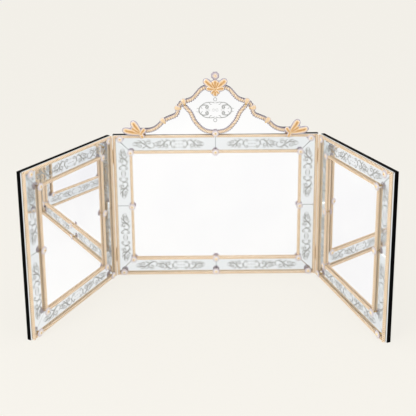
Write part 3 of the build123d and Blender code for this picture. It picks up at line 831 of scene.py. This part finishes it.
def edge_share(spot, length, width):
    """How near a vertex lies to the outline of its leaf, from the middle line to the edge."""
    share = min(1.0, max(0.0, spot.x / length))
    for (near, wide, _, _), (far, next_wide, _, _) in zip(leaf_steps, leaf_steps[1:]):
        if share <= far:
            half = width / 2 * (wide + (next_wide - wide) * (share - near) / (far - near))
            break
    across = min(1.0, abs(spot.y) / half)
    # The last fifth of the length counts as edge too, because it runs out to the tip.
    return max(across, 5 * share - 4) - rim_start


def make_leaf(name, length, width, thickness, rise):
    """A ribbed glass leaf from the origin along x, its back at z 0, its face up."""
    bpy.ops.mesh.primitive_circle_add(
        vertices=leaf_sides, radius=0.5, fill_type="NGON", rotation=(0, math.pi / 2, 0),
    )
    leaf = finish_mesh(name)
    # Every second line on the face is drawn in, which leaves ribs between the lines.
    pick(leaf, "VERT", lambda spot: spot.z > 0.05 and line_number(spot.y, spot.z, leaf_sides) % 2 == 0)
    scale(1, rib_share, rib_share)
    pick(leaf, "VERT", lambda spot: True)
    _, wide, deep, low = leaf_steps[0]
    scale(1, wide * width, deep * thickness)
    bpy.ops.transform.translate(value=(0, 0, low * rise))
    for (near, wide, deep, low), (far, next_wide, next_deep, high) in zip(leaf_steps, leaf_steps[1:]):
        extrude((far - near) * length, 0, (high - low) * rise)
        scale(1, next_wide / wide, next_deep / deep, (far * length, 0, high * rise))
    face_outward()
    soften(leaf, lambda spot: edge_share(spot, length, width))
    lowest = min(vertex.co.z for vertex in leaf.data.vertices)
    leaf.data.transform(Matrix.Translation((0, 0, -lowest)))
    return leaf


# %% [markdown]
# Several leaves spring from one pinched root. The root is a low dome, extruded upwards in three
# steps, with eight lines drawn in, as the glass puckers where the leaves were pressed on.

# %% A fan of leaves
# Each step up the root: its share of the thickness, and how far it widens or narrows.
root_steps = ((0.5, 1.06), (0.3, 0.86), (0.2, 0.6))
pucker_share = 0.88
pucker_press = 0.92


def leaf_fan(blades, thickness, rise, root_radius):
    """A fan of leaves on one root, from a list of angle, length and width."""
    pieces = []
    for angle, length, width in blades:
        leaf = make_leaf("leaf", length * MM, width * MM, thickness * MM, rise * MM)
        pieces.append(turned_copy(leaf, Matrix.Rotation(math.radians(angle), 4, "Z")))
        discard(leaf)
    pieces.append(make_root(root_radius * MM, thickness * MM))
    return join(pieces, "fan")


def make_root(radius, thickness):
    """The pinched root that the leaves of a fan spring from: a ribbed low dome."""
    bpy.ops.mesh.primitive_circle_add(vertices=petal_sides, radius=radius, fill_type="NGON")
    root = finish_mesh("root")
    pick(root, "FACE", lambda spot: True)
    for rise_share, reach in root_steps:
        extrude(0, 0, rise_share * thickness)
        bpy.ops.transform.resize(value=(reach, reach, 1))
    face_outward()
    pick(root, "VERT", lambda spot: spot.z > 0.1 * MM and on_notch_line(spot))
    scale(pucker_share, pucker_share, pucker_press)
    soften(root, lambda spot: 0.25)
    return root


# %% [markdown]
# A spray of five leaves stands at each end of the crest. It is modelled once and mirrored.

# %% Sprays at the two ends of the crest
spray_root = (314 * MM, 16 * MM)
spray_blades = [(56, 68, 26), (13, 81, 26), (34, 52, 20), (128, 30, 20), (-115, 22, 18)]
spray = leaf_fan(spray_blades, 8, 6, 11)
for side, name in ((1, "right"), (-1, "left")):
    seat = Matrix.Translation((side * spray_root[0], top_rod + spray_root[1], flower_seat))
    turn = Matrix.Identity(4) if side > 0 else mirror_x
    place_group(
        [turned_copy(spray, seat @ turn)], "crest_" + name + "_spray", "centre_panel", leaf_glass,
        "amber_glass", "crest_" + name + "_leaf",
    )
print("leaves in a spray:", len(spray_blades))
discard(spray)

# %% [markdown]
# The finial has ten leaves round one root, and its upper leaf holds the stem of the round flower.

# %% Leaves of the finial
finial_blades = [(90, 42, 28), (42, 64, 26), (138, 64, 26), (66, 40, 20), (114, 40, 20)]
finial_blades += [(8, 40, 20), (172, 40, 20), (-90, 30, 22), (-50, 26, 16), (-130, 26, 16)]
finial = leaf_fan(finial_blades, 11, 6, 14)
finial_rise = 204 * MM
finial.data.transform(Matrix.Translation((0, top_rod + finial_rise, flower_seat)))
place_group([finial], "finial_spray", "centre_panel", leaf_glass, "amber_glass", "finial_leaves")
print("leaves in the finial:", len(finial_blades))

# %% [markdown]
# Three small leaves curl over the bent rod on each side of the crest. Their roots sit just inside
# the rod and their tips reach out past the black edge of the board.

# %% Small leaves over the crest rods
curled_steps = (0.30, 0.53, 0.62)
curled_inset = 9 * MM
path = rounded_path(crest_path, crest_radii)
small_leaf = make_leaf("small_leaf", 27 * MM, 19 * MM, 5 * MM, 6 * MM)
small_leaves = []
for step in curled_steps:
    spot, run = along(path, step)
    outward = Vector((run.y, -run.x, 0))
    seat = Matrix.Translation(spot - outward * curled_inset + Vector((0, 0, flower_seat)))
    turn = Matrix.Rotation(math.atan2(outward.y, outward.x), 4, "Z")
    small_leaves.append(turned_copy(small_leaf, seat @ turn))
    small_leaves.append(turned_copy(small_leaf, mirror_x @ seat @ turn))
discard(path, small_leaf)
place_group(
    small_leaves, "crest_small_leaves", "centre_panel", bud_glass, "amber_glass", "crest_curled_leaves",
)
print("small leaves:", 2 * len(curled_steps))

# %% [markdown]
# The flower at the very top is a ball of glass with eight pinched ribs. A sphere is flattened from
# front to back, every fourth upright line of it is drawn in, and a short stem plugs it into the
# leaves.

# %% The round flower on top
bud_radius = 18.6 * MM
bud_depth = 26 * MM
rib_draw = 0.85
rib_press = 0.94
face_press = 1.6 * MM
bpy.ops.mesh.primitive_uv_sphere_add(segments=petal_sides, ring_count=12, radius=bud_radius)
bud = finish_mesh("bud")
pick(bud, "VERT", lambda spot: spot.xy.length > MM and on_notch_line(spot))
scale(rib_draw, rib_draw, rib_press)
pick(bud, "VERT", lambda spot: True)
scale(1, 1, bud_depth / 2 / bud_radius)
pick(bud, "VERT", lambda spot: spot.z > 0.4 * bud_depth)
bpy.ops.transform.translate(value=(0, 0, -face_press))
soften(bud, lambda spot: min(1.0, 0.15 + spot.xy.length / bud_radius))
bpy.ops.mesh.primitive_cone_add(
    vertices=16, radius1=4 * MM, radius2=3 * MM, depth=20 * MM,
    location=(0, -18 * MM, 0), rotation=(math.pi / 2, 0, 0),
)
stem = finish_mesh("stem")
write_rim(stem, lambda spot: 0.3)
flower_rise = 262 * MM
bud_forward = flower_seat + 5.5 * MM
bud = join([stem, bud], "bud")
bud.data.transform(Matrix.Translation((0, top_rod + flower_rise, bud_forward)))
bud = place_group([bud], "finial_bud", "centre_panel", bud_glass, "clear_glass", "finial_flower")
print("top of the round flower:", round(max(vertex.co.z for vertex in bud.data.vertices), 4))

# %% [markdown]
# ## The engraving
# The scrolls on the strips are ground into the glass as tapered strokes that curl into volutes,
# with leaves along the stem. Each stroke is drawn as a curve through a few points with a half
# width at each, bevelled to a thin ridge and pressed almost flat, so that it lies on the plate as
# a skin of frosted glass. One scroll is drawn once and then copied, turned over and set end to end.

# %% Strokes
press_flat = 0.05
stroke_depth = 0.85 * MM


def curl(x, y, radius, end, turns):
    """Points of a volute from its eye outwards: it ends at an angle, after so many turns."""
    count = max(6, round(abs(turns) * 9))
    points = []
    for index in range(count):
        share = index / (count - 1)
        angle = math.radians(end - 360 * turns * (1 - share))
        reach = radius * (0.12 + 0.88 * share)
        points.append((x + reach * math.cos(angle), y + reach * math.sin(angle)))
    return points


def swell(points, start, middle, end):
    """Half widths that grow from the start to the middle of a stroke and shrink to its end."""
    widths = []
    for index in range(len(points)):
        share = index / (len(points) - 1)
        hump = 4 * share * (1 - share)
        widths.append((start * (1 - share) + end * share) * (1 - hump) + middle * hump)
    return widths


def engrave(name, strokes):
    """Draws strokes, each of points in millimetres and half widths, as one pressed mesh."""
    bpy.ops.curve.primitive_bezier_curve_add()
    drawing = bpy.context.object
    curve = drawing.data
    curve.splines.clear()
    curve.dimensions = "3D"
    curve.bevel_depth = stroke_depth
    curve.bevel_resolution = 0
    curve.resolution_u = 3
    for points, widths in strokes:
        spline = curve.splines.new("BEZIER")
        spline.bezier_points.add(len(points) - 1)
        for knot, (x, y), width in zip(spline.bezier_points, points, widths):
            knot.co = (x * MM, y * MM, 0)
            knot.handle_left_type = knot.handle_right_type = "AUTO"
            knot.radius = width
    only(drawing)
    bpy.ops.object.convert(target="MESH")
    drawing = bpy.context.object
    drawing.name = name
    drawing.data.transform(Matrix.Diagonal((1, 1, press_flat, 1)))
    return drawing


# %% [markdown]
# The scroll unit starts at the middle motif and ends in a point. A stem waves along it, a large
# volute rolls up above the stem and a smaller one below, and short leaves fill the gaps.

# %% Scroll unit
stem = [(36, -13), (47, -17), (60, -12), (72, 0), (86, 8), (98, 4), (107, 0)]
high_roll = curl(57, 5, 9.5, -30, -1.25) + [(59, -10), (51, -15)]
low_roll = curl(85, -7, 8, 30, 1.25) + [(84, 5), (77, 3)]
scroll = [
    (stem, swell(stem, 0.6, 3.2, 0.3)),
    (high_roll, swell(high_roll, 0.8, 2.4, 1.4)),
    (low_roll, swell(low_roll, 0.8, 2.2, 1.2)),
    ([(90, 5), (102, 9), (113, 0)], (1.4, 2.6, 0.2)),
    ([(92, -3), (102, -7), (113, 0)], (1.0, 2.2, 0.2)),
    ([(43, -15), (38, -8), (40, 2), (47, 8)], (0.4, 2.6, 2.2, 0.2)),
    ([(64, -9), (72, -14), (77, -19), (72, -21)], (1.8, 2.9, 1.6, 0.2)),
    ([(70, -1), (69, 9), (73, 15), (81, 17)], (1.8, 3.1, 1.8, 0.2)),
    ([(76, 4), (84, 13), (92, 16), (97, 13)], (1.5, 2.4, 1.5, 0.2)),
    ([(91, 7), (99, 10), (104, 7)], (1.2, 1.3, 0.2)),
    ([(92, 5), (98, -3), (97, -10), (92, -12)], (1.2, 2.1, 1.2, 0.2)),
    ([(50, -17), (56, -21), (63, -20)], (1.2, 1.5, 0.2)),
    ([(47, 11), (52, 17), (60, 18), (64, 15)], (0.2, 1.4, 1.3, 0.2)),
]


def moved(strokes, across, up, wide=1.0, high=1.0):
    """The same strokes stretched, turned over by a negative share, and moved."""
    return [
        ([(across + x * wide, up + y * high) for x, y in points], widths) for points, widths in strokes
    ]


def both_ways(strokes):
    """Strokes to the right of the middle, and the same ones turned over to the left."""
    return strokes + moved(strokes, 0, 0, -1)


print("strokes in a scroll:", len(scroll))

# %% [markdown]
# Two braces stand back to back with dashes between them in the middle of the level strips. On the
# upright strips the middle is an almond instead.

# %% Middle motifs
brace = curl(23, 12, 6, 50, -1.1) + [(34, 7), (37, 0), (34, -7)] + curl(23, -12, 6, -50, 1.1)[::-1]
half_braces = [(brace, swell(brace, 0.6, 2.1, 0.6))]
lens = [((-5, 0), (0, 0.6), (5, 0)), (0.2, 1.5, 0.2)]
dashes = [moved([lens], x, y)[0] for x in (-12, 0, 12) for y in (-14, 14)]
petals = [moved([lens], x, 0, 1.2)[0] for x in (-14, 0, 14)]
brace_motif = both_ways(half_braces) + dashes + petals
almond = [
    ([(-19, 0), (-8, 7), (0, 8.5), (8, 7), (19, 0)], (0.2, 1.6, 2.0, 1.6, 0.2)),
    ([(-11, 0), (0, 3.2), (11, 0)], (0.2, 0.8, 0.2)),
]
almond_motif = both_ways(half_braces) + almond + moved(almond, 0, 0, 1, -1)
outer_scroll = moved(scroll, 60, 0, 1.33, -1)
level_motif = brace_motif + both_ways(scroll)
print("strokes in a level motif:", len(level_motif + outer_scroll))

# %% [markdown]
# The engraver repeats one pattern on strip after strip. So three drawings are made, for the centre's
# level strips, the wings' level strips and the uprights, and copies are set in place.

# %% Engraved strips
skin_lift = 0.03 * MM
centre_stretch = 0.955
wing_stretch = 0.93


def pressed(drawing, x, y, turn=0, wide=1.0, high=1.0):
    """A copy of a drawing on the glass of a flat panel, turned in degrees and stretched."""
    place = Matrix.Translation((x, y, glass_face + skin_lift))
    turned = place @ Matrix.Rotation(math.radians(turn), 4, "Z")
    return turned_copy(drawing, turned @ Matrix.Diagonal((wide, high, 1, 1)))


half_drawing = engrave("half_drawing", level_motif + outer_scroll)
full_drawing = engrave("full_drawing", level_motif + both_ways(outer_scroll))
upright_drawing = engrave("upright_drawing", almond_motif + both_ways(scroll))
strip_middle = strip_step / 2
motif_shift = 155 * MM
upright_middle = 165 * MM
for body, (prefix, left, right, *_) in panels.items():
    drawings = []
    for y, up in ((low_rod + strip_middle, 1), (top_rod - strip_middle, -1)):
        if body == "centre_panel":
            for side in (1, -1):
                wide = side * centre_stretch
                drawings.append(pressed(half_drawing, side * motif_shift, y, 0, wide, up))
        else:
            drawings.append(pressed(full_drawing, (left + right) / 2, y, 0, wing_stretch, up))
    for x in (left + strip_middle, right - strip_middle):
        drawings.append(pressed(upright_drawing, x, low_rod + upright_middle, 90))
        drawings.append(pressed(upright_drawing, x, top_rod - upright_middle, 90))
    engraving = place_group(drawings, prefix + "_engraving", body, frost, "engraved_mirror")
    print(engraving.name, len(engraving.data.polygons), "faces")
discard(half_drawing, full_drawing, upright_drawing)

# %% [markdown]
# The cartouche carries an oval wreath of scrolls with a small ring above and below it and a sprig
# in its middle. The wreath is drawn as one quarter and turned over twice.

# %% Cartouche engraving
wreath_centre = top_rod + 112 * MM
roll = curl(36, 13, 8, 70, -1.3) + [(50, 22), (64, 14), (69, 0)]
under_roll = [(2, 27), (12, 33), (28, 33), (44, 30), (58, 20), (67, 6)]
quarter = [
    (roll, swell(roll, 0.8, 3.4, 3.2)),
    (under_roll, swell(under_roll, 0.3, 2.4, 1.2)),
    ([(26, 32), (20, 25), (12, 24)], (1.4, 2.0, 0.2)),
    ([(66, 4), (74, 8), (80, 4)], (1.4, 1.5, 0.2)),
    ([(14, 31), (6, 34), (0, 30)], (0.3, 1.6, 0.4)),
    ([(60, 16), (57, 8), (50, 4)], (1.2, 1.5, 0.2)),
    ([(40, 1), (30, 4.5), (22, 0.5)], (0.3, 1.3, 0.2)),
    ([(14, 0.5), (8, 5), (0, 1)], (0.2, 1.2, 0.4)),
]
ring_turns = [k * math.tau / 8 for k in range(9)]
ring = [(7 * math.cos(turn), 7 * math.sin(turn)) for turn in ring_turns]
ring_stroke = [(ring, [1.6] * len(ring))]
wreath = both_ways(quarter) + moved(both_ways(quarter), 0, 0, 1, -1)
wreath += moved(ring_stroke, 0, 46) + moved(ring_stroke, 0, -44)
wreath_drawing = engrave("wreath_drawing", wreath)
place_group(
    [pressed(wreath_drawing, 0, wreath_centre)], "cartouche_engraving", "centre_panel", frost,
    "engraved_mirror",
)
discard(wreath_drawing)
print("strokes in the wreath:", len(wreath))

# %% [markdown]
# ## Floor, light and camera
# The photograph is a cut-out on warm white. A wide pale floor runs out behind the mirror. It shows
# its own colour to the camera and to the mirrors, mixed with real shading so that the object keeps
# its shadow. The kind of ray that arrives tells who is looking: the camera, or glass.

# %% Floor
floor_size = 600
floor_drop = 0.5 * MM
camera_glow = 0.88
glass_glow = 0.85


def rays_of(tree, *kinds):
    """1 for rays of any of these kinds, and 0 for all others."""
    rays = add_node(tree, "ShaderNodeLightPath").outputs
    found = rays[f"Is {kinds[0]} Ray"]
    for kind in kinds[1:]:
        pair = {0: found, 1: rays[f"Is {kind} Ray"]}
        found = add_node(tree, "ShaderNodeMath", pair, operation="MAXIMUM").outputs[0]
    return found


def mix(tree, share, first, second):
    """The first shader where the share is 0, and the second where it is 1."""
    return add_node(tree, "ShaderNodeMixShader", {0: share, 1: first, 2: second}).outputs[0]


def even_glow(tree, code):
    """A shader that shows a screen colour just as it is."""
    return add_node(tree, "ShaderNodeEmission", {"Color": colour(code), "Strength": 1.0}).outputs[0]


bpy.ops.mesh.primitive_plane_add(size=floor_size, location=(0, 0, -floor_drop))
floor = finish_mesh("floor")
floor_paint, tree = new_material("floor_paint")
matt = add_node(tree, "ShaderNodeBsdfDiffuse", {"Color": colour("F1EFE9")}).outputs[0]
for_camera = mix(tree, camera_glow, matt, even_glow(tree, "F5F2EB"))
for_glass = mix(tree, glass_glow, matt, even_glow(tree, "FFFFFF"))
shown = mix(tree, rays_of(tree, "Camera"), matt, for_camera)
shown = mix(tree, rays_of(tree, "Glossy", "Transmission"), shown, for_glass)
add_node(tree, "ShaderNodeOutputMaterial", {"Surface": shown})
floor.data.materials.append(floor_paint)
print("floor:", floor_size, "m wide")

# %% [markdown]
# The sky is an even warm white, a little brighter where the camera or glass sees it than where it
# only gives light, so that the mirrors look as clear as the background.

# %% Sky
lighting_strength = 0.85
visible_strength = 0.98
world = bpy.data.worlds.new("studio")
world.use_nodes = True
tree = world.node_tree
tree.nodes.clear()
seen = rays_of(tree, "Glossy", "Transmission", "Camera")
strength = spread(tree, seen, lighting_strength, visible_strength)
sky = add_node(tree, "ShaderNodeBackground", {"Color": colour("FBFAF7"), "Strength": strength})
add_node(tree, "ShaderNodeOutputWorld", {"Surface": sky.outputs[0]})
bpy.context.scene.world = world
print("sky:", world.name)

# %% [markdown]
# A large soft lamp stands to the left in front, and a weaker one to the right opens the shadows.
# The camera was fitted to the lines of the rods in the photograph. Its focal length came out in
# pixels of that picture, and the lens follows from it and from the width of the sensor.

# %% Lamps and camera
lamp_aim = Vector((0, 0, 0.45))
photo_width = 416
focal_pixels = 572.23
sensor_width = 36


def soft_lamp(name, spot, size, watts):
    """A square area lamp that looks at the middle of the mirror."""
    bpy.ops.object.light_add(type="AREA", location=spot)
    lamp = bpy.context.object
    lamp.name = name
    lamp.data.size = size
    lamp.data.energy = watts
    lamp.rotation_euler = (lamp_aim - Vector(spot)).to_track_quat("-Z", "Y").to_euler()


soft_lamp("key", (-1.8, -2.2, 2.4), 1.6, 42)
soft_lamp("fill", (2.2, -2.0, 1.6), 1.8, 16)

bpy.ops.object.camera_add(location=(-0.03092, -2.36572, 1.28476))
camera = bpy.context.object
camera.rotation_euler = [math.radians(turn) for turn in (80.348, 0.451, -0.185)]
camera.data.sensor_width = sensor_width
camera.data.lens = focal_pixels / photo_width * sensor_width
camera.data.shift_x = -0.0016
camera.data.shift_y = -0.316
bpy.context.scene.camera = camera
bpy.context.scene.view_settings.view_transform = "Standard"
print("lens:", round(camera.data.lens, 2), "mm")
